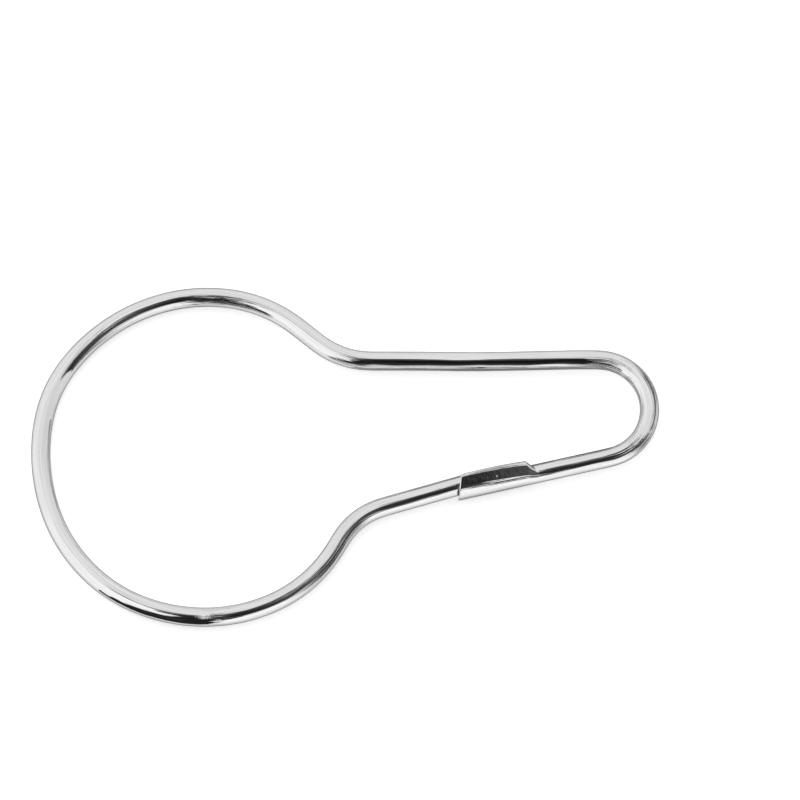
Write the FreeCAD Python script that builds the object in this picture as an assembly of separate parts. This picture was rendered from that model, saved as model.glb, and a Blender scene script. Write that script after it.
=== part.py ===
import FreeCAD, Part
import math
import os

# Curtain hook bent from one length of plated steel wire: a large ring that slides on the curtain rod,
# two legs that close in towards a small rounded tip, and a catch. The catch is the wire's own end,
# pressed flat and folded along its length into a channel that is open to the inside of the hook.
# The other end of the wire is sprung into that channel. Lengths are millimetres, angles are degrees.

# Wire and ring
wire_dia = 2.2
ring_radius = 18.9            # to the centre of the wire, most of the way round
ring_end_radius = 15.8        # the ring closes in faster just before each shoulder
ring_end_angle = 73.0         # where that faster bend begins, from the hook's axis

# Rounded tip
tip_radius = 5.8              # to the centre of the wire
tip_reach = 45.36             # from the ring's centre to the tip's centre

# The plain leg
leg_angle = 6.86              # to the hook's axis
shoulder_angle = 46.3         # of the short straight between ring and shoulder, to the axis
shoulder_radius = 9.8

# The free leg, sprung into the catch
free_leg_angle = 9.2
free_leg_offset = 11.42       # from the ring's centre to the line of the free leg
free_shoulder_angle = 53.0
free_shoulder_radius = 8.1
free_end_depth = 2.2          # how far the wire's cut end reaches into the catch

# The return leg and the catch on it
return_angle = 5.8            # to the hook's axis
return_length = 8.5           # straight from the tip's bend to where the wire starts to spread
root_length = 1.15            # from the round wire to the full channel
channel_length = 7.65         # of the full channel, along its free edges
sheet_at_root = 0.74          # thickness after pressing, thinner towards the cut end
sheet_in_middle = 0.66
sheet_at_end = 0.48
bend_at_root = 1.40           # outside radius of the lengthwise fold, wider towards the cut end
bend_in_middle = 1.64
bend_at_end = 1.78
wall_at_root = 0.85           # straight part of each wall
wall_in_middle = 0.89
wall_at_end = 0.79
flare_angle = 16.0            # each wall leans outwards, so the mouth is the widest place
end_skew_angle = 18.0         # the fold reaches further than the free edges at the cut end
end_round = 0.22              # rounded rim round the cut end

wire_radius = wire_dia / 2
UP = FreeCAD.Vector(0, 0, 1)
CENTRE = FreeCAD.Vector(0, 0, 0)


def flat(x, y):
    """Point in the plane of the wire's centre line."""
    return FreeCAD.Vector(x, y, 0)


def towards(angle, length=1.0):
    return flat(length * math.cos(math.radians(angle)), length * math.sin(math.radians(angle)))


def arc_about(centre, radius, start, end):
    middle = (start + end) / 2
    return Part.Arc(*[centre + towards(angle, radius) for angle in (start, middle, end)]).toShape()


def line(a, b):
    return Part.LineSegment(a, b).toShape()


def half_ring(slope, bend, angle, offset, leg_end):
    """Edges on the +Y side from the ring's far point to leg_end: the ring, its tighter end,
    a short straight, the shoulder, and the leg, whose line lies at offset from the ring's centre."""
    end_centre = towards(ring_end_angle, ring_radius - ring_end_radius)
    touch = end_centre + towards(90 - slope, ring_end_radius)
    normal = towards(90 - angle)
    run = (normal.dot(touch) - offset) / math.sin(math.radians(slope - angle))
    setback = bend * math.tan(math.radians((slope - angle) / 2))
    bend_start = touch + towards(-slope, run - setback)
    bend_centre = bend_start + towards(90 - slope, bend)
    leg_start = bend_centre - normal * bend
    return [
        arc_about(CENTRE, ring_radius, 180, ring_end_angle),
        arc_about(end_centre, ring_end_radius, ring_end_angle, 90 - slope),
        line(touch, bend_start),
        arc_about(bend_centre, bend, 270 - slope, 270 - angle),
        line(leg_start, leg_end),
    ]


def on_leg(angle, offset, reach):
    """Point of a +Y leg's line at a distance along the hook's axis."""
    drop = (offset - reach * math.sin(math.radians(angle))) / math.cos(math.radians(angle))
    return flat(reach, drop)


def other_side(point):
    return flat(point.x, -point.y)


def tube(edges, start, direction):
    """Round wire swept along edges that run into each other without a corner."""
    path = Part.Wire(Part.__sortEdges__(edges))
    section = Part.Wire(Part.makeCircle(wire_radius, start, direction))
    sweep = Part.BRepOffsetAPI.MakePipeShell(path)
    sweep.setBiNormalMode(UP)
    sweep.add(section)
    sweep.build()
    sweep.makeSolid()
    return sweep.shape()


# Places along the wire
leg_offset = tip_reach * math.sin(math.radians(leg_angle)) + tip_radius
tip_centre = flat(tip_reach, 0)
leg_end = tip_centre + towards(90 - leg_angle, tip_radius)
tip_end = tip_centre + towards(return_angle - 90, tip_radius)
catch_along = towards(180 + return_angle)
catch_out = towards(270 + return_angle)
root = tip_end + catch_along * return_length
catch_length = root_length + channel_length
free_reach = (root + catch_along * (catch_length - free_end_depth)).x
free_end = on_leg(free_leg_angle, free_leg_offset, free_reach)


def bent_wire():
    """The whole round part of the wire, from its free end round the ring and the tip to the catch."""
    free_side = half_ring(free_shoulder_angle, free_shoulder_radius, free_leg_angle, free_leg_offset, free_end)
    free_side = [edge.mirror(CENTRE, flat(0, 1)) for edge in free_side]
    plain_side = half_ring(shoulder_angle, shoulder_radius, leg_angle, leg_offset, leg_end)
    tip = arc_about(tip_centre, tip_radius, 90 - leg_angle, return_angle - 90)
    back = line(tip_end, root)
    return tube(free_side + plain_side + [tip, back], other_side(free_end), towards(180 + free_leg_angle))


# The catch's sheet at three places along it: distance from the root, outside radius of the fold,
# thickness, straight part of each wall, and how far the section leans
full_at_root = {"at": root_length, "bend": bend_at_root, "sheet": sheet_at_root, "wall": wall_at_root, "skew": 0}
full_in_middle = {"at": root_length + channel_length / 2, "bend": bend_in_middle, "sheet": sheet_in_middle,
                  "wall": wall_in_middle, "skew": end_skew_angle / 2}
full_at_end = {"at": catch_length, "bend": bend_at_end, "sheet": sheet_at_end, "wall": wall_at_end,
               "skew": end_skew_angle}

# Half of the catch's section, named from the fold to the mouth and back inside: the angle of each point
# on the round wire, where both faces of the wall start as one line
circle_angles = {"wall_start": 90 - flare_angle, "wall": 92 - flare_angle, "wall_end": 94 - flare_angle,
                 "rim": 118, "lip": 151, "inner_wall": 158, "inner_start": 166}


def channel_half(form, inset):
    """Points of the folded sheet. Each is a pair: outwards from the wire's centre line, and up.
    Inset is how far the sheet's outer face is drawn in, for the rounded end."""
    cos, sin = math.cos(math.radians(flare_angle)), math.sin(math.radians(flare_angle))
    fold = wire_radius - form["bend"]
    inner_radius = form["bend"] - form["sheet"]
    thick = form["sheet"] - inset
    wall = form["wall"]
    lip_foot = (fold + inner_radius * sin - wall * cos, inner_radius * cos + wall * sin)
    half = math.sqrt(0.5)
    return {
        "wall_start": (fold + (inner_radius + thick) * sin, (inner_radius + thick) * cos),
        "wall": (lip_foot[0] + thick * sin + wall * cos / 2, lip_foot[1] + thick * cos - wall * sin / 2),
        "wall_end": (lip_foot[0] + thick * sin, lip_foot[1] + thick * cos),
        "rim": (lip_foot[0] + thick * half * (sin - cos), lip_foot[1] + thick * half * (cos + sin)),
        "lip": (lip_foot[0] - thick * cos, lip_foot[1] + thick * sin),
        "inner_wall": (fold + inner_radius * sin - (wall + thick) * cos / 2,
                       inner_radius * cos + (wall + thick) * sin / 2),
        "inner_start": (fold + inner_radius * sin, inner_radius * cos),
    }


# Where each point leaves the round wire on its way to the channel, as a share of the root's length.
# The wall's flat face starts as a point, and the free edges and the hollow follow.
edge_leaves, mouth_leaves = 0.3, 0.55
leaves = {"wall_start": 0, "wall": 0, "wall_end": 0, "rim": edge_leaves, "lip": mouth_leaves,
          "inner_wall": mouth_leaves, "inner_start": mouth_leaves, "floor": mouth_leaves}


def outline(form, share=1.0, inset=0.0):
    """Closed outline of the catch where its form holds, or in the root at a share of the root's length."""

    def moved(name):
        return max(share - leaves[name], 0) / (1 - leaves[name])

    full = channel_half(form, inset)
    half = {}
    for name, angle in circle_angles.items():
        on_wire = (wire_radius * math.cos(math.radians(angle)), wire_radius * math.sin(math.radians(angle)))
        half[name] = tuple(a + moved(name) * (b - a) for a, b in zip(on_wire, full[name]))
    floor = -wire_radius + moved("floor") * (2 * wire_radius - form["sheet"])
    distance = form["at"] - root_length * (1 - share)
    mouth = full["lip"][0]

    def place(out, height):
        along = distance + (out - mouth) * math.tan(math.radians(form["skew"]))
        return root + catch_along * along + catch_out * out + UP * height

    def upper(name):
        return place(*half[name])

    def lower(name):
        return place(half[name][0], -half[name][1])

    def edge(a, middle, b):
        bow = (middle - a).cross(b - a).Length / (b - a).Length
        return Part.Arc(a, middle, b).toShape() if bow > 1e-4 else line(a, b)

    edges = [
        edge(lower("wall_start"), place(wire_radius - inset, 0), upper("wall_start")),
        edge(upper("wall_start"), upper("wall"), upper("wall_end")),
        edge(upper("wall_end"), upper("rim"), upper("lip")),
        edge(upper("lip"), upper("inner_wall"), upper("inner_start")),
        edge(upper("inner_start"), place(floor, 0), lower("inner_start")),
        edge(lower("inner_start"), lower("inner_wall"), lower("lip")),
        edge(lower("lip"), lower("rim"), lower("wall_end")),
        edge(lower("wall_end"), lower("wall"), lower("wall_start")),
    ]
    return Part.Wire(edges)


def catch():
    """Spreading root, channel with bowed free edges, and the rounded rim at its cut end."""
    spreading = [outline(full_at_root, share) for share in (0, mouth_leaves, 1)]
    before_rim = dict(full_at_end, at=catch_length - end_round)
    channel = [outline(form) for form in (full_at_root, full_in_middle, before_rim)]
    rim = [outline(before_rim), outline(full_at_end, 1, end_round)]
    return [Part.makeLoft(spreading, True, True), Part.makeLoft(channel, True, False), Part.makeLoft(rim, True, True)]


def laid_down(shape):
    """Turned to rest on a flat surface, on the catch and on the ring's far side."""
    slopes = []
    for form in (full_in_middle, full_at_end):
        reach = (root + catch_along * form["at"]).x
        below = channel_half(form, 0)["wall_end"][1] - wire_radius
        slopes.append(math.degrees(math.asin(below / (reach + ring_radius))))
    rest = shape.copy()
    middle = (tip_reach + tip_radius - ring_radius) / 2
    rest.translate(flat(-middle, 0))
    rest.rotate(CENTRE, flat(0, 1), -max(slopes))
    rest.translate(UP * -rest.optimalBoundingBox().ZMin)
    print("tip raised by", round(max(slopes), 3), "degrees, moved by", round(middle, 3), "mm")
    return rest


os.makedirs("parts", exist_ok=True)
hook = bent_wire().fuse(catch()).removeSplitter()
resting = laid_down(hook.Solids[0])
resting.exportStep("parts/hook.step")
print("hook:", len(hook.Solids), "solid, valid", resting.isValid(), ", volume", round(resting.Volume, 1), "mm3")
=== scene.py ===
import bpy
import bmesh
import math
import numpy as np
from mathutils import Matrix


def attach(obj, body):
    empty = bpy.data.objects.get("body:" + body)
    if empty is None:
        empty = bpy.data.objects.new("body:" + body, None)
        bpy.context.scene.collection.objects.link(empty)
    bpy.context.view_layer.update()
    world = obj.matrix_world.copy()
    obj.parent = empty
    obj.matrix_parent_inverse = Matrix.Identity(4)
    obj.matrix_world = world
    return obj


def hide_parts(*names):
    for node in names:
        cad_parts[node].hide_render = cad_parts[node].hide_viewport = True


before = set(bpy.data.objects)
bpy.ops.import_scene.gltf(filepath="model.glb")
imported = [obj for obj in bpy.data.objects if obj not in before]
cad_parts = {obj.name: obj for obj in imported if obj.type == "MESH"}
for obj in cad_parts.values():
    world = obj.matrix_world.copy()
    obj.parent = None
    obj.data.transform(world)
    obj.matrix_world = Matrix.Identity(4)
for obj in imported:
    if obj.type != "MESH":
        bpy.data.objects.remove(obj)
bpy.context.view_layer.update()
print("frame loaded:", sorted(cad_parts))

# lengths below are millimetres and angles degrees; the scene is in metres
perMetre = 1000
inDegrees = 180 / math.pi

# the bent wire
wire = {
    "radius": 1.1,
    "ringRadius": 18.9, "ringEndRadius": 15.8, "ringEndAngle": 73.0,
    "tipRadius": 5.8, "tipReach": 45.36,
    "legAngle": 6.86, "shoulderAngle": 46.3, "shoulderRadius": 9.8,
    "freeLegAngle": 9.2, "freeLegOffset": 11.42, "freeShoulderAngle": 53.0, "freeShoulderRadius": 8.1,
    "returnAngle": 5.8, "returnLength": 8.5,
    "freeEndDepth": 2.2,         # of the free end in the catch
    "freeEndRound": 0.12,        # worn rim of the cut end
    "bendEase": 0.55,            # how softly one bend runs into the next
    # bent by hand: at x, y the wire lies this far outwards, over this width
    "sway": ((-16.0, 10.0, 0.21, 3.8), (-18.9, -1.0, -0.14, 4.3), (-12.4, -14.3, 0.08, 3.6),
             (-4.6, 18.3, -0.07, 5.0), (32.0, 7.4, -0.10, 4.0), (44.5, 6.0, 0.09, 3.0)),
    "lineStep": 0.05,            # between points of the centre line
    "leastPoints": 4,            # on any arc or straight of it
    "spare": 4.0,                # of the centre line past either end, for the easing
    "step": 0.30,                # between rings of the surface
    "finePart": 1.6,             # the last stretch before the catch has finer rings
    "fineStep": 0.06,
    "rimRings": 6,               # over the rounded rim of a cut end
}

# the folded catch; three places hold distance from the root and the value there
catch = {
    "rootLength": 1.15, "channelLength": 7.65, "flare": 16.0, "endRound": 0.22,
    "bend": ((1.15, 1.40), (4.98, 1.64), (8.58, 1.78)),      # outside radius of the fold
    "sheet": ((1.15, 0.55), (4.98, 0.38), (8.58, 0.38)),     # a little thinner than the solid's
    "wall": ((1.15, 0.87), (4.98, 0.99), (8.58, 0.81)),      # straight part of each wall
    "skew": ((1.15, 0.0), (4.98, 9.0), (8.58, 18.0)),        # how far the section leans
    "edgeLeaves": 0.3, "mouthLeaves": 0.55,                  # share of the root where they start to spread
    "finePast": 0.3,                                         # the finer rings go this far past the root
    "step": 0.16, "firstGap": 0.1, "lastGap": 0.05,          # between the channel's rings, and at its ends
    "sharpAbove": 40,                                        # edges that turn more than this stay crisp
}

layDown = {"shift": 16.13, "slope": 0.997}   # the hook's middle goes to the origin, and its tip rises


def towards(angle, length=1.0):
    # Length times the direction of an angle in the wire's plane.
    return length * np.array([math.cos(math.radians(angle)), math.sin(math.radians(angle))])


def arcRun(centre, radius, start, end):
    # Circle arc: centre plus radius times the direction of an angle that grows evenly from start to end.
    count = max(wire["leastPoints"], int(abs(math.radians(end - start)) * radius / wire["lineStep"]))
    angle = np.radians(np.linspace(start, end, count, endpoint=False))
    return centre + radius * np.stack([np.cos(angle), np.sin(angle)], 1)


def straightRun(a, b):
    # Straight line: a plus an even share of the way to b.
    count = max(wire["leastPoints"], int(np.linalg.norm(b - a) / wire["lineStep"]))
    return a + np.linspace(0, 1, count, endpoint=False)[:, None] * (b - a)


def halfRing(slope, bend, angle, offset, legEnd):
    # Ring from its far point, its tighter end, a short straight, the shoulder and the leg, on the +Y side.
    middle = np.zeros(2)
    endCentre = towards(wire["ringEndAngle"], wire["ringRadius"] - wire["ringEndRadius"])
    touch = endCentre + towards(90 - slope, wire["ringEndRadius"])
    normal = towards(90 - angle)
    run = (normal @ touch - offset) / math.sin(math.radians(slope - angle))
    setback = bend * math.tan(math.radians((slope - angle) / 2))
    bendStart = touch + towards(-slope, run - setback)
    bendCentre = bendStart + towards(90 - slope, bend)
    legStart = bendCentre - normal * bend
    return np.concatenate([
        arcRun(middle, wire["ringRadius"], 180, wire["ringEndAngle"]),
        arcRun(endCentre, wire["ringEndRadius"], wire["ringEndAngle"], 90 - slope),
        straightRun(touch, bendStart),
        arcRun(bendCentre, bend, 270 - slope, 270 - angle),
        straightRun(legStart, legEnd),
    ])


# places along the wire
legSlope, freeSlope = math.radians(wire["legAngle"]), math.radians(wire["freeLegAngle"])
legOffset = wire["tipReach"] * math.sin(legSlope) + wire["tipRadius"]
tipCentre = np.array([wire["tipReach"], 0.0])
legEnd = tipCentre + towards(90 - wire["legAngle"], wire["tipRadius"])
tipEnd = tipCentre + towards(wire["returnAngle"] - 90, wire["tipRadius"])
catchAlong = towards(180 + wire["returnAngle"])
root = tipEnd + catchAlong * wire["returnLength"]
catchLength = catch["rootLength"] + catch["channelLength"]
freeX = (root + catchAlong * (catchLength - wire["freeEndDepth"]))[0]
freeY = (wire["freeLegOffset"] - freeX * math.sin(freeSlope)) / math.cos(freeSlope)
freeEnd = np.array([freeX, freeY])
flip = np.array([1.0, -1.0])                 # to the -Y side, where the free leg is


def centreLine():
    # Free leg, ring, plain leg, tip, return leg, and straight on through the catch, then eased: each point
    # becomes the bell-weighted mean of its neighbours along the wire. Sway moves points outwards by its
    # amount times a bell of their distance from its place.
    freeSide = halfRing(wire["freeShoulderAngle"], wire["freeShoulderRadius"], wire["freeLegAngle"],
                        wire["freeLegOffset"], freeEnd)
    plainSide = halfRing(wire["shoulderAngle"], wire["shoulderRadius"], wire["legAngle"], legOffset, legEnd)
    beyond = root + catchAlong * (catchLength + wire["spare"])
    before = freeEnd * flip + towards(wire["freeLegAngle"], wire["spare"])
    points = np.concatenate([
        straightRun(before, freeEnd * flip),
        freeSide[::-1] * flip,
        plainSide[1:],
        arcRun(tipCentre, wire["tipRadius"], 90 - wire["legAngle"], wire["returnAngle"] - 90),
        straightRun(tipEnd, beyond),
    ])
    step, ease = wire["lineStep"], wire["bendEase"]
    length = np.concatenate([[0], np.cumsum(np.linalg.norm(np.diff(points, axis=0), axis=1))])
    even = np.arange(0, length[-1], step)
    points = np.stack([np.interp(even, length, points[:, k]) for k in range(2)], 1)
    reach = int(3 * ease / step)             # the bell is cut off at three times its width
    bell = np.exp(-0.5 * (np.arange(-reach, reach + 1) * step / ease) ** 2)
    bell /= bell.sum()
    eased = points.copy()
    for k in range(2):
        eased[reach:-reach, k] = np.convolve(points[:, k], bell, "valid")
    slope = np.gradient(eased, axis=0)
    outward = np.stack([-slope[:, 1], slope[:, 0]], 1) / np.linalg.norm(slope, axis=1)[:, None]
    for x, y, amount, width in wire["sway"]:
        away = np.linalg.norm(eased - (x, y), axis=1) / width
        eased = eased + outward * (amount * np.exp(-0.5 * away ** 2))[:, None]
    startAt = np.argmin(np.linalg.norm(eased - freeEnd * flip, axis=1))
    rootAt = np.argmin(np.linalg.norm(eased - root, axis=1))
    return eased, startAt, rootAt


line, startAt, rootAt = centreLine()
wireLength = (rootAt - startAt) * wire["lineStep"]
print("centre line:", round(wireLength, 1), "mm to the catch")


# Knots of half the section, from the middle of its outer side, over the free edge, to the middle of its
# inner side: place in the half, angle on the round wire, and the share of the root where it starts to move.
# The wall's flat face starts as a point, so its two ends start close together.
knots = {
    "outside": (0, 0, 0),
    "wallStart": (15, 74, 0),
    "wallEnd": (20, 78, 0),
    "edge": (24, 118, catch["edgeLeaves"]),          # middle of the rounded free edge
    "lip": (28, 151, catch["mouthLeaves"]),
    "innerFold": (34, 166, catch["mouthLeaves"]),    # inner fold starts
    "inside": (56, 180, catch["mouthLeaves"]),
}
knotPlaces, knotAngles, knotLeaves = np.array(list(knots.values())).T
wallStart, wallEnd, lip, innerFold, halfCount = (
    knots[name][0] for name in ("wallStart", "wallEnd", "lip", "innerFold", "inside"))


def smooth(x):
    # Three times the square less twice the cube, from 0 to 1.
    x = np.clip(x, 0, 1)
    return x * x * (3 - 2 * x)


def bowed(name, distance):
    # Parabola through the three places.
    places, values = np.array(catch[name]).T
    return np.polyval(np.polyfit(places, values, 2), np.clip(distance, places[0], places[-1]))[:, None]


def channelHalf(distance, inset):
    # Outline of half the folded sheet: an arc of the outer radius, a straight wall that leans outwards, a
    # quarter round over the free edge, the wall's inner face, and an arc of the inner radius.
    place = np.arange(halfCount + 1.0)[None, :]

    def share(start, end):
        return np.clip((place - start) / (end - start), 0, 1)

    flare = math.radians(catch["flare"])
    cos, sin = math.cos(flare), math.sin(flare)
    bend, wall = bowed("bend", distance), bowed("wall", distance)
    fold = wire["radius"] - bend
    inner = bend - bowed("sheet", distance)
    thick = bowed("sheet", distance) - inset[:, None]
    footOut, footUp = fold + inner * sin - wall * cos, inner * cos + wall * sin
    angle = share(0, wallStart) * (math.pi / 2 - flare)
    run = share(wallStart, wallEnd) * wall
    out = fold + (inner + thick) * np.cos(angle) - run * cos
    up = (inner + thick) * np.sin(angle) + run * sin
    turn = share(wallEnd, lip) * math.pi / 2
    back = share(lip, innerFold) * (wall + thick)
    rimOut = footOut + thick * (sin * np.cos(turn) - cos * np.sin(turn)) + back * cos
    rimUp = footUp + thick * (cos * np.cos(turn) + sin * np.sin(turn)) - back * sin
    innerAngle = (1 - share(innerFold, halfCount)) * (math.pi / 2 - flare)
    parts = [place <= wallEnd, place <= innerFold]
    return (np.select(parts, [out, rimOut], fold + inner * np.cos(innerAngle)),
            np.select(parts, [up, rimUp], inner * np.sin(innerAngle)))


def catchHalf(distance, roundOut, roundUp, inset):
    # In the root each point goes straight from the round wire to the folded sheet. The weighted mean of
    # three places along the wire rounds the creases off.
    flatOut, flatUp = channelHalf(distance, inset)
    leaves = np.interp(np.arange(halfCount + 1), knotPlaces, knotLeaves)
    moved = 0
    for shift, weight in ((-wire["fineStep"], 0.25), (0, 0.5), (wire["fineStep"], 0.25)):
        share = (distance[:, None] + shift) / catch["rootLength"]
        moved = moved + weight * np.clip((share - leaves) / (1 - leaves), 0, 1)
    return roundOut + moved * (flatOut - roundOut), roundUp + moved * (flatUp - roundUp)


def hookSurface():
    # Section carried along the centre line. Round part: centre + radius (out cos a + up sin a).
    # Second result: the wire's own coordinates, which are across, up and the distance from the free end.
    rounds, rounding = wire["freeEndRound"], catch["endRound"]
    fineFrom = wireLength - wire["finePart"]
    fineTo = wireLength + catch["rootLength"] + catch["finePast"]
    rimFrom = wireLength + catchLength - rounding
    turn = np.linspace(0, math.pi / 2, wire["rimRings"])
    distance = np.concatenate([
        rounds * (1 - np.cos(turn)),
        np.arange(rounds + wire["step"], fineFrom, wire["step"]),
        np.arange(fineFrom, fineTo, wire["fineStep"]),
        np.arange(fineTo + catch["firstGap"], rimFrom - catch["lastGap"], catch["step"]),
        rimFrom + rounding * np.sin(turn),
    ])
    shrink = np.zeros(len(distance))
    shrink[:len(turn)] = rounds * (1 - np.sin(turn))
    inset = np.zeros(len(distance))
    inset[-len(turn):] = rounding * (1 - np.cos(turn))
    fromRoot = distance - wireLength

    index = np.minimum(distance, wireLength) / wire["lineStep"] + startAt
    grid = np.arange(len(line))
    slopeLine = np.gradient(line, axis=0)
    centre = np.stack([np.interp(index, grid, line[:, k]) for k in range(2)], 1)
    along = np.stack([np.interp(index, grid, slopeLine[:, k]) for k in range(2)], 1)
    along /= np.linalg.norm(along, axis=1)[:, None]
    late = fromRoot > 0
    along[late] = catchAlong
    outward = np.stack([-along[:, 1], along[:, 0]], 1)      # away from the hook's inside

    place = np.arange(halfCount + 1.0)
    even = place / halfCount * 180
    toCatch = smooth(fromRoot / wire["finePart"] + 1)[:, None]
    angle = np.radians(even + (np.interp(place, knotPlaces, knotAngles) - even) * toCatch)
    radius = (wire["radius"] - shrink)[:, None]
    out, up = catchHalf(fromRoot, radius * np.cos(angle), radius * np.sin(angle), inset)
    lean = np.tan(np.radians(bowed("skew", fromRoot)))
    beyond = late[:, None] * (fromRoot[:, None] + (out - out[:, lip:lip + 1]) * lean)

    # the lower half mirrors the upper one
    out = np.concatenate([out, out[:, -2:0:-1]], 1)
    up = np.concatenate([up, -up[:, -2:0:-1]], 1)
    beyond = np.concatenate([beyond, beyond[:, -2:0:-1]], 1)
    angle = np.concatenate([angle, 2 * math.pi - angle[:, -2:0:-1]], 1)
    level = centre[:, None] + outward[:, None] * out[..., None] + along[:, None] * beyond[..., None]
    points = np.concatenate([level, up[..., None]], 2)
    across, upwards = wire["radius"] * np.cos(angle), wire["radius"] * np.sin(angle)
    drawn = np.stack([across, upwards, distance[:, None] + 0 * angle], 2)
    return points, drawn


def laidDown(points):
    # Shift along the hook's axis, and turn about the Y axis so that the tip rises.
    slope = math.radians(layDown["slope"])
    x, y, z = points[..., 0] - layDown["shift"], points[..., 1], points[..., 2]
    return np.stack([x * math.cos(slope) - z * math.sin(slope), y, x * math.sin(slope) + z * math.cos(slope)], -1)


# marks of the bending and pressing tools: x, y, how much, over this width
toolMarks = {
    # strands and lines stand out
    "worked": ((14.7, -11.4, 0.9, 3.4), (8.9, -16.6, 0.4, 3.0), (-1.3, -18.7, 1.2, 0.9), (-10.3, 15.8, 0.8, 2.6),
               (3.3, 18.6, 0.8, 3.2), (18.1, 9.6, 0.6, 1.8), (47.2, 5.4, 1.3, 1.9), (51.0, 0.4, 0.5, 3.0),
               (48.9, -4.5, 1.3, 1.8), (32.5, -6.8, 0.8, 4.0)),
    # small dents
    "dented": ((-1.3, -18.7, 1.0, 0.7), (48.9, -4.5, 1.0, 1.4), (32.5, -6.8, 0.8, 4.0)),
    "most": 1.5,     # where marks overlap
}


def amountAt(points, marks):
    # Sum of bells round the marks, by distance in the wire's plane.
    total = np.zeros(points.shape[:-1])
    for x, y, amount, width in marks:
        away = np.hypot(points[..., 0] - x, points[..., 1] - y) / width
        total += amount * np.exp(-0.5 * away ** 2)
    return np.minimum(total, toolMarks["most"])


def added(name, data):
    made = bpy.data.objects.new(name, data)
    bpy.context.scene.collection.objects.link(made)
    return made


def buildHook():
    points, drawn = hookSurface()
    placed = laidDown(points)
    lowest = placed[..., 2].min()            # goes down to the floor
    placed[..., 2] -= lowest
    rings, around = placed.shape[:2]
    index = np.arange(rings * around).reshape(rings, around)
    following = np.roll(index, -1, axis=1)
    quads = np.stack([index[:-1], following[:-1], following[1:], index[1:]], -1).reshape(-1, 4)
    # the free end closes with a fan round its middle
    vertices = placed.reshape(-1, 3)
    vertices = np.concatenate([vertices, vertices[index[0]].mean(0)[None]])
    fan = np.stack([following[0], index[0], np.full(around, len(vertices) - 1)], -1)
    # the catch's cut end: each point of the outer side meets one of the inner side, up to the lips
    upper, lower = index[-1], np.roll(index[-1][::-1], 1)
    k = np.arange(lip - 1)
    ends = [np.stack([half[k], half[k + 1], half[halfCount - 1 - k], half[halfCount - k]], -1)
            for half in (upper, lower)]
    lips = np.stack([half[[lip - 1, lip, lip + 1]] for half in (upper, lower)])
    faces = np.concatenate([quads, *ends]).tolist() + np.concatenate([fan, lips]).tolist()
    mesh = bpy.data.meshes.new("hookWire")
    mesh.from_pydata((vertices / perMetre).tolist(), [], faces)
    shape = bmesh.new()
    shape.from_mesh(mesh)
    bmesh.ops.recalc_face_normals(shape, faces=shape.faces)
    shape.to_mesh(mesh)
    shape.free()

    # what the plating reads; the fan's middle gets zero
    drawn = np.concatenate([drawn.reshape(-1, 3), [[0, 0, 0]]]).astype(np.float32)
    mesh.attributes.new("drawn", "FLOAT_VECTOR", "POINT").data.foreach_set("vector", drawn.ravel())
    for name in ("worked", "dented"):
        amount = np.append(amountAt(points, toolMarks[name]).ravel(), 0).astype(np.float32)
        mesh.attributes.new(name, "FLOAT", "POINT").data.foreach_set("value", amount)
    mesh.shade_smooth()
    mesh.set_sharp_from_angle(angle=math.radians(catch["sharpAbove"]))
    return added("hookWire", mesh), lowest


# plating
plating = {
    "colour": (0.80, 0.80, 0.80), "dullColour": (0.70, 0.70, 0.705),
    "dullOver": (0.35, 0.75),                            # how strong a drawn line has to be to look dull
    "roughness": (0.015, 0.05),
    "roughOver": (0.35, 0.7),                            # the same for the roughness
    "dentedRoughness": 0.03, "pitRoughness": 0.5,        # added there
    "edgeTint": (0.36, 0.36, 0.36),                      # grazing reflections, which draw the outlines
    "paintedOutlineShade": {"from": 0.30, "to": 0.72, "by": 0.30},  # painted shade: the colour darkens by this towards the outlines
    # stretch is repeats in a millimetre, across, up and along; size is repeats in a metre
    "waves": {"stretch": (0.5, 0.5, 0.16), "start": 0.0, "detail": 1.0, "height": 0.10},
    "strands": {"stretch": (3.1, 3.1, 0.09), "start": 31.0, "detail": 2.0, "height": 0.010, "worked": 0.14},
    "lines": {"stretch": (7.0, 7.0, 0.16), "start": 0.0, "detail": 3.0, "height": 0.007, "worked": 0.030},
    "dents": {"size": 2000, "detail": 2.0, "height": 0.0014, "worked": 0.024},
}

# one small pit in the catch's upper wall; the floor is the radius that is evenly rough
pit = {"place": (32.72, -6.80, 1.66), "radius": 0.16, "floor": 0.08}


def node(tree, kind, **values):
    made = tree.nodes.new(kind)
    for name, value in values.items():
        setattr(made, name, value)
    return made


def feed(tree, value, target):
    # A socket is linked to the target, a plain value is set on it.
    if isinstance(value, bpy.types.NodeSocket):
        tree.links.new(value, target)
    else:
        target.default_value = value


def maths(tree, operation, *values):
    made = node(tree, "ShaderNodeMath", operation=operation)
    for k, value in enumerate(values):
        feed(tree, value, made.inputs[k])
    return made.outputs[0]


def rise(tree, value, start, end, low=0.0, high=1.0, kind="SMOOTHSTEP"):
    # Goes from low to high while value goes from start to end.
    made = node(tree, "ShaderNodeMapRange", interpolation_type=kind)
    for name, number in (("Value", value), ("From Min", start), ("From Max", end), ("To Min", low), ("To Max", high)):
        feed(tree, number, made.inputs[name])
    return made.outputs[0]


def blended(tree, share, low, high):
    # Low where share is 0, high where it is 1; a float mix has its inputs at 0, 2 and 3.
    mix = node(tree, "ShaderNodeMix", data_type="FLOAT")
    for k, value in zip((0, 2, 3), (share, low, high)):
        feed(tree, value, mix.inputs[k])
    return mix.outputs[0]


def noise(tree, place, size, detail):
    made = node(tree, "ShaderNodeTexNoise")
    made.inputs["Scale"].default_value = size
    made.inputs["Detail"].default_value = detail
    tree.links.new(place, made.inputs["Vector"])
    return made.outputs["Fac"]


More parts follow.
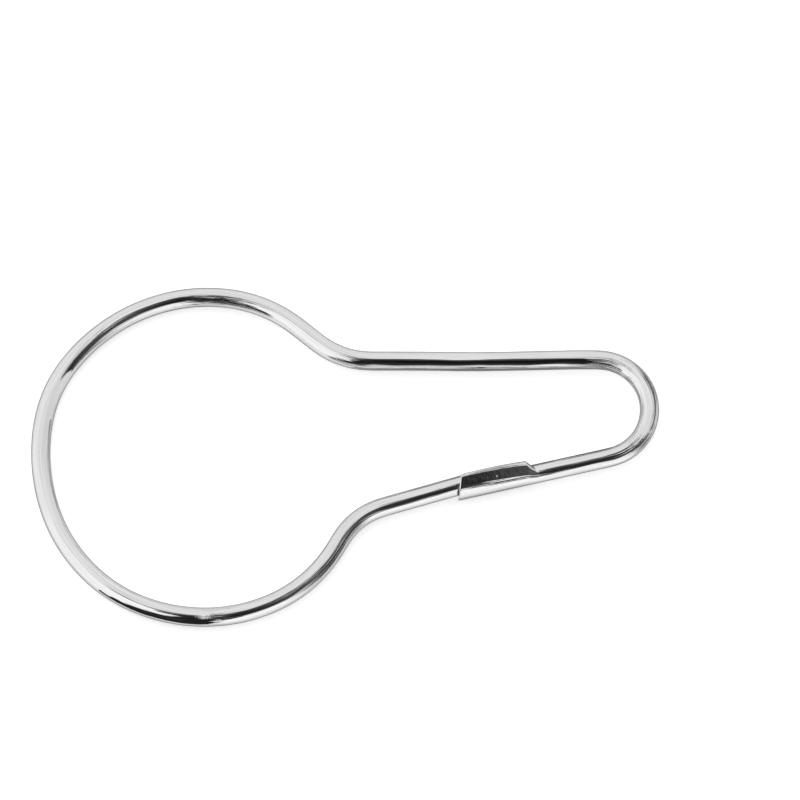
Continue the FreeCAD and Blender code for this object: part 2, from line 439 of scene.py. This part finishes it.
def noiseAlong(tree, drawn, kind):
    # Noise on the wire's own coordinates, drawn out along it. Start picks another stretch of the pattern.
    scaled = node(tree, "ShaderNodeMapping")
    scaled.inputs["Scale"].default_value = kind["stretch"]
    scaled.inputs["Location"].default_value = (0, 0, kind["start"])
    tree.links.new(drawn, scaled.inputs["Vector"])
    return noise(tree, scaled.outputs[0], 1.0, kind["detail"])


def newMaterial(name):
    material = bpy.data.materials.new(name)
    material.use_nodes = True
    return material, material.node_tree, material.node_tree.nodes["Principled BSDF"]


def platedMaterial():
    material, tree, shader = newMaterial("brightPlating")
    shader.inputs["Metallic"].default_value = 1.0
    shader.inputs["Specular Tint"].default_value = (*plating["edgeTint"], 1)
    drawn = node(tree, "ShaderNodeAttribute", attribute_name="drawn").outputs["Vector"]
    worked = node(tree, "ShaderNodeAttribute", attribute_name="worked").outputs["Fac"]
    dented = node(tree, "ShaderNodeAttribute", attribute_name="dented").outputs["Fac"]
    place = node(tree, "ShaderNodeTexCoord").outputs["Object"]
    waves, strands, lines = (noiseAlong(tree, drawn, plating[name]) for name in ("waves", "strands", "lines"))
    dents = noise(tree, place, plating["dents"]["size"], plating["dents"]["detail"])

    # heights add up, each with its own amount more where the tools worked
    height = maths(tree, "MULTIPLY", waves, plating["waves"]["height"])
    for name, texture, where in (("strands", strands, worked), ("lines", lines, worked), ("dents", dents, dented)):
        amount = maths(tree, "MULTIPLY_ADD", where, plating[name]["worked"], plating[name]["height"])
        height = maths(tree, "MULTIPLY_ADD", texture, amount, height)
    bump = node(tree, "ShaderNodeBump")
    bump.inputs["Distance"].default_value = 1 / perMetre
    tree.links.new(height, bump.inputs["Height"])
    tree.links.new(bump.outputs[0], shader.inputs["Normal"])

    away = node(tree, "ShaderNodeVectorMath", operation="DISTANCE")
    tree.links.new(place, away.inputs[0])
    away.inputs[1].default_value = (laidDown(np.array(pit["place"])) - np.array([0, 0, lowest])) / perMetre
    inPit = rise(tree, away.outputs["Value"], pit["floor"] / perMetre, pit["radius"] / perMetre, 1.0, 0.0)
    uneven = maths(tree, "MULTIPLY_ADD", strands, 0.5, maths(tree, "MULTIPLY", lines, 0.5))     # mean of the two
    rough = rise(tree, uneven, *plating["roughOver"], *plating["roughness"])
    rough = maths(tree, "MULTIPLY_ADD", dented, plating["dentedRoughness"], rough)
    rough = maths(tree, "MULTIPLY_ADD", inPit, plating["pitRoughness"], rough)
    tree.links.new(rough, shader.inputs["Roughness"])

    # a colour mix has its colours at 6 and 7
    colour = node(tree, "ShaderNodeMix", data_type="RGBA")
    colour.inputs[6].default_value = (*plating["colour"], 1)
    colour.inputs[7].default_value = (*plating["dullColour"], 1)
    tree.links.new(rise(tree, lines, *plating["dullOver"]), colour.inputs[0])
    # painted shade: the base colour is scaled down towards the outlines by the facing angle, which darkens them
    facing = node(tree, "ShaderNodeLayerWeight")
    edge = plating["paintedOutlineShade"]
    paintedShadeFactor = rise(tree, facing.outputs["Facing"], edge["from"], edge["to"], 1.0, 1.0 - edge["by"])
    shade = node(tree, "ShaderNodeVectorMath", operation="SCALE")
    tree.links.new(colour.outputs[2], shade.inputs[0])
    tree.links.new(paintedShadeFactor, shade.inputs["Scale"])
    tree.links.new(shade.outputs[0], shader.inputs["Base Color"])
    return material


hookWire, lowest = buildHook()
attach(hookWire, "root")
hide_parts("hook")
print("hook surface:", len(hookWire.data.vertices), "points, lowest", round(lowest, 3))
hookWire.data.materials.append(platedMaterial())
print("plating done")


# floor; its reach is in metres
floor = {"reach": 0.7, "colour": (0.70, 0.70, 0.70), "roughness": 0.22, "liftSeen": 0.50, "liftReflected": 0.21}


def buildFloor():
    # Flat square. It is lifted to white for the camera, and less for reflections, and keeps the shadow.
    mesh = bpy.data.meshes.new("floor")
    r = floor["reach"]
    mesh.from_pydata([(-r, -r, 0), (r, -r, 0), (r, r, 0), (-r, r, 0)], [], [(0, 1, 2, 3)])
    piece = added("floor", mesh)
    material, tree, shader = newMaterial("floorCard")
    shader.inputs["Base Color"].default_value = (*floor["colour"], 1)
    shader.inputs["Roughness"].default_value = floor["roughness"]
    path = node(tree, "ShaderNodeLightPath")
    reflected = maths(tree, "MAXIMUM", path.outputs["Is Glossy Ray"], path.outputs["Is Transmission Ray"])
    seen = maths(tree, "MULTIPLY", path.outputs["Is Camera Ray"], floor["liftSeen"])
    lift = maths(tree, "ADD", seen, maths(tree, "MULTIPLY", reflected, floor["liftReflected"]))
    shader.inputs["Emission Color"].default_value = (1, 1, 1, 1)
    tree.links.new(lift, shader.inputs["Emission Strength"])
    piece.data.materials.append(material)


buildFloor()
print("floor done")


# studio: a white tent that is open on the camera's side, with a dark room and a bright table behind the opening
# Side angle: 0 is the -Y side, positive towards +X. Height: degrees above the floor.
# Pairs are side angle and brightness, or the heights or sides between which a value changes.
studio = {
    "tent": ((-180, 0.93), (-120, 0.98), (-85, 1.10), (-50, 1.16), (70, 0.84), (105, 0.80), (140, 0.95), (180, 0.93)),
    "opening": {"left": (-26, -42), "leftHeights": (46, 29), "leftTop": (-20, 62, 76),
                "right": (73, 84), "rightHeights": (52, 72), "soft": 2.5},
    "roomHigh": ((-30, 0.03), (-14, 0.008), (6, 0.012), (24, 0.04), (36, 0.09), (46, 0.07), (60, 0.09), (76, 0.34)),
    "roomMiddle": ((-50, 0.05), (-30, 0.018), (-12, 0.02), (4, 0.05), (30, 0.09), (44, 0.05), (62, 0.022)),
    "roomLow": ((-50, 0.03), (-32, 0.05), (-18, 0.10), (4, 0.3), (44, 0.28), (57, 0.10)),
    "roomHeights": (8, 30, 44, 58),      # low up to the first, middle between the next two, high from the last
    "table": {"brightness": 1.18, "top": (47, 28), "left": (3, -8), "leftHeights": (47, 14),
              "right": (16, 40), "rightHeights": (47, 14), "soft": (4, 9)},
    "ceilingGap": {"side": -120, "height": 88.5, "size": (4.0, 12.0), "brightness": 0.08},
    "key": {"place": (-0.12, 0.10, 1.0), "size": 1.6, "power": 7.5},     # in metres
}


def around(tree, turn, pairs):
    # Brightness round the horizon from a few pairs of side angle and brightness.
    ring = node(tree, "ShaderNodeValToRGB")
    stops = ring.color_ramp.elements         # two at first; new ones start near the end and get their place
    for k, (angle, brightness) in enumerate(pairs):
        stop = stops[k] if k < 2 else stops.new(0.99)
        stop.position = (angle + 180) / 360
        stop.color = (brightness, brightness, brightness, 1)
    tree.links.new(turn, ring.inputs[0])
    return ring.outputs[0]


def openShare(tree, side, height):
    # 1 in the tent's opening, whose left and right edges are side angles that change with the height.
    gap = studio["opening"]
    top, topStart, topEnd = gap["leftTop"]
    left = rise(tree, height, *gap["leftHeights"], *gap["left"])
    left = maths(tree, "ADD", left, rise(tree, height, topStart, topEnd, 0.0, top))
    right = rise(tree, height, *gap["rightHeights"], *gap["right"])
    fromLeft = rise(tree, maths(tree, "SUBTRACT", side, left), -gap["soft"], gap["soft"])
    fromRight = rise(tree, maths(tree, "SUBTRACT", right, side), -gap["soft"], gap["soft"])
    return maths(tree, "MULTIPLY", fromLeft, fromRight)


def darkRoom(tree, turn, height):
    # Three rings of brightness, one above the other, that run into each other.
    low, middleStart, middleEnd, high = studio["roomHeights"]
    roomLow, roomMiddle, roomHigh = (
        around(tree, turn, studio[name]) for name in ("roomLow", "roomMiddle", "roomHigh"))
    room = blended(tree, rise(tree, height, low, middleStart), roomLow, roomMiddle)
    return blended(tree, rise(tree, height, middleEnd, high), room, roomHigh)


def withTable(tree, side, height, room):
    # The table covers the room between two side angles that change with the height, and up to its top.
    table = studio["table"]
    softLeft, softRight = table["soft"]
    start = rise(tree, height, *table["leftHeights"], *table["left"], "LINEAR")
    end = rise(tree, height, *table["rightHeights"], *table["right"], "LINEAR")
    pastStart = rise(tree, maths(tree, "SUBTRACT", side, start), -softLeft, softLeft)
    beforeEnd = rise(tree, maths(tree, "SUBTRACT", end, side), -softRight, softRight)
    shown = maths(tree, "MULTIPLY", pastStart, beforeEnd)
    shown = maths(tree, "MULTIPLY", shown, rise(tree, height, *table["top"]))
    return blended(tree, shown, room, table["brightness"])


def withCeilingGap(tree, direction, light):
    # A round dark place almost straight above, by the angle between its direction and the ray's.
    gap = studio["ceilingGap"]
    gapSide, gapHeight = math.radians(gap["side"]), math.radians(gap["height"])
    level = math.cos(gapHeight)
    dot = node(tree, "ShaderNodeVectorMath", operation="DOT_PRODUCT")
    tree.links.new(direction, dot.inputs[0])
    dot.inputs[1].default_value = (level * math.sin(gapSide), -level * math.cos(gapSide), math.sin(gapHeight))
    away = maths(tree, "MULTIPLY", maths(tree, "ARCCOSINE", dot.outputs["Value"]), inDegrees)
    return blended(tree, rise(tree, away, *gap["size"], 1.0, 0.0), light, gap["brightness"])


def buildWorld():
    world = bpy.data.worlds.new("studio")
    bpy.context.scene.world = world
    world.use_nodes = True
    tree = world.node_tree
    tree.nodes.clear()
    output = node(tree, "ShaderNodeOutputWorld")
    direction = node(tree, "ShaderNodeTexCoord").outputs["Generated"]
    split = node(tree, "ShaderNodeSeparateXYZ")
    tree.links.new(direction, split.inputs[0])
    x, y, z = split.outputs
    side = maths(tree, "MULTIPLY", maths(tree, "ARCTAN2", x, maths(tree, "MULTIPLY", y, -1.0)), inDegrees)
    turn = maths(tree, "MULTIPLY_ADD", side, 1 / 360, 0.5)      # 0 to 1 round the horizon
    height = maths(tree, "MULTIPLY", maths(tree, "ARCSINE", z), inDegrees)

    tent = around(tree, turn, studio["tent"])
    opening = openShare(tree, side, height)
    room = withTable(tree, side, height, darkRoom(tree, turn, height))
    light = withCeilingGap(tree, direction, blended(tree, opening, tent, room))

    # the camera sees plain white in its place
    surround = node(tree, "ShaderNodeBackground")
    tree.links.new(light, surround.inputs["Color"])
    plain = node(tree, "ShaderNodeBackground")
    path = node(tree, "ShaderNodeLightPath")
    chosen = node(tree, "ShaderNodeMixShader")
    tree.links.new(path.outputs["Is Camera Ray"], chosen.inputs[0])
    tree.links.new(surround.outputs[0], chosen.inputs[1])
    tree.links.new(plain.outputs[0], chosen.inputs[2])
    tree.links.new(chosen.outputs[0], output.inputs[0])


# painted reflections: dark and bright cards close to the hook, which only the metal sees; places in the hook's
# millimetres, side angles as above
paintedReflectionCards = {
    "ring": {"radius": (23.6, 400), "inner": (-46, -6), "outer": (-53, -9), "brightness": 0.02},
    "ringFlag": {"radius": 27.0, "sides": (-46, 8), "taper": 6.0, "thin": 0.03, "height": 4.2, "highFrom": -16,
                 "highOver": 6, "high": 8.8, "liftFrom": -6.5, "brightness": 0.02},
    "inside": {"radius": (2.0, 15.0), "inner": (-130, -80), "outer": (-126, -82), "brightness": 0.45},
    "leg": {"start": (17.0, 6.7), "end": (46.0, 3.2), "across": (0, -7.5, 0), "brightness": 0.30},
    "ringLeft": {"start": (-11.8, 6.0), "end": (-9.7, 9.0), "across": (0, 0, 11.0), "brightness": 0.85},
    "tip": {"radius": 15.0, "sides": (68, 150), "low": 2.6, "lowTo": 110, "lowOver": 25,
            "high": (2.0, 9.0), "highOver": 30, "brightness": 0.15},
}
cardFoot = 0.02      # how far above the floor the cards start
cardShares = np.linspace(0, 1, 24)


def aroundCentre(centre, radius, side, height):
    # Point at a side angle round a centre: 0 is -Y, positive towards +X.
    turn = np.radians(side)
    return np.stack([centre[0] + radius * np.sin(turn), centre[1] - radius * np.cos(turn), height + 0 * turn], -1)


def buildCard(name, inner, outer):
    # Sheet between two lines of points, a plain brightness, seen by reflections alone: a painted reflection, glowing
    # though it is no lamp.
    points = np.stack([inner, outer])
    points[..., 0] -= layDown["shift"]
    count = points.shape[1]
    index = np.arange(2 * count).reshape(2, count)
    faces = np.stack([index[0, :-1], index[0, 1:], index[1, 1:], index[1, :-1]], -1)
    mesh = bpy.data.meshes.new(name)
    mesh.from_pydata((points.reshape(-1, 3) / perMetre).tolist(), [], faces.tolist())
    piece = added(name, mesh)
    material, tree, shader = newMaterial(name)
    shader.inputs["Base Color"].default_value = (0, 0, 0, 1)
    shader.inputs["Specular IOR Level"].default_value = 0.0
    shader.inputs["Emission Color"].default_value = (1, 1, 1, 1)
    shader.inputs["Emission Strength"].default_value = paintedReflectionCards[name]["brightness"]
    mesh.materials.append(material)
    # painted reflection: hidden from the camera, from diffuse light and from shadows, so that only the metal shows it
    for kind in ("camera", "diffuse", "transmission", "volume_scatter", "shadow"):
        setattr(piece, "visible_" + kind, False)


def buildLyingCard(name):
    # Between two arcs round the ring's centre, each with its own radius and side angles.
    card = paintedReflectionCards[name]
    sides = [np.interp(cardShares, (0, 1), card[edge]) for edge in ("inner", "outer")]
    buildCard(name, *(aroundCentre((0, 0), radius, side, cardFoot) for radius, side in zip(card["radius"], sides)))


def buildRingFlag():
    # Standing arc outside the ring. It tapers to nothing on the left and grows higher on the right, where its
    # bottom edge climbs to meet the top.
    card = paintedReflectionCards["ringFlag"]
    first, last = card["sides"]
    sides = np.interp(cardShares, (0, 1), card["sides"])
    top = card["height"] * smooth((sides - first) / card["taper"]) + card["thin"]
    top = top + (card["high"] - card["height"]) * smooth((sides - card["highFrom"]) / card["highOver"])
    bottom = cardFoot + card["high"] * np.clip((sides - card["liftFrom"]) / (last - card["liftFrom"]), 0, 1)
    buildCard("ringFlag", *(aroundCentre((0, 0), card["radius"], sides, height) for height in (bottom, top)))


def buildStraightCard(name):
    # A line from start to end, and the same line moved across.
    card = paintedReflectionCards[name]
    start, end = (np.array([*card[place], cardFoot]) for place in ("start", "end"))
    run = start + cardShares[:, None] * (end - start)
    buildCard(name, run, run + np.array(card["across"]))


def buildTipCard():
    # Standing arc outside the tip. Its bottom and top edges fall with the side angle.
    card = paintedReflectionCards["tip"]
    sides = np.interp(cardShares, (0, 1), card["sides"])
    low = card["low"] * smooth((card["lowTo"] - sides) / card["lowOver"])
    least, most = card["high"]
    high = least + (most - least) * smooth((card["sides"][1] - sides) / card["highOver"])
    buildCard("tip", *(aroundCentre(tipCentre, card["radius"], sides, height) for height in (low, high)))


def buildKey():
    # One large soft box from above; metal sees the tent in its place.
    key = added("key", bpy.data.lights.new("key", "AREA"))
    key.data.size = studio["key"]["size"]
    key.data.energy = studio["key"]["power"]
    key.location = studio["key"]["place"]
    key.rotation_euler = (-key.location).to_track_quat("-Z", "Y").to_euler()
    key.visible_glossy = False
    key.visible_camera = False


buildWorld()
print("studio done")
# painted reflections round the hook
buildLyingCard("ring")
buildLyingCard("inside")
buildRingFlag()
buildStraightCard("leg")
buildStraightCard("ringLeft")
buildTipCard()
print("cards done:", len(paintedReflectionCards))
buildKey()


# camera, as the photograph looks down; its clip is in metres
view = {"target": (22.893, 3.891, 0.0), "azimuth": -7.02, "elevation": 75.14, "distance": 1056.4,
        "lens": 415.3, "sensor": 36, "clip": (0.05, 20)}


def buildCamera():
    # The view is set for the hook before it is laid down, so the camera is turned and moved with it.
    azimuth, elevation = math.radians(view["azimuth"]), math.radians(view["elevation"])
    level = math.cos(elevation)
    back = np.array([math.sin(azimuth) * level, -math.cos(azimuth) * level, math.sin(elevation)])
    right = np.array([math.cos(azimuth), math.sin(azimuth), 0])
    top = np.cross(back, right)
    place = np.array(view["target"]) + view["distance"] * back
    slope = math.radians(layDown["slope"])
    turn = np.array([[math.cos(slope), 0, -math.sin(slope)], [0, 1, 0], [math.sin(slope), 0, math.cos(slope)]])
    matrix = np.eye(4)
    for k, axis in enumerate((right, top, back)):
        matrix[:3, k] = turn @ axis
    matrix[:3, 3] = (laidDown(place) - np.array([0, 0, lowest])) / perMetre
    camera = added("camera", bpy.data.cameras.new("camera"))
    camera.data.lens = view["lens"]
    camera.data.sensor_width = view["sensor"]
    camera.data.clip_start, camera.data.clip_end = view["clip"]
    camera.matrix_world = [list(column) for column in matrix.T]
    bpy.context.scene.camera = camera


buildCamera()
bpy.context.scene.view_settings.view_transform = "Standard"
print("camera and light done")
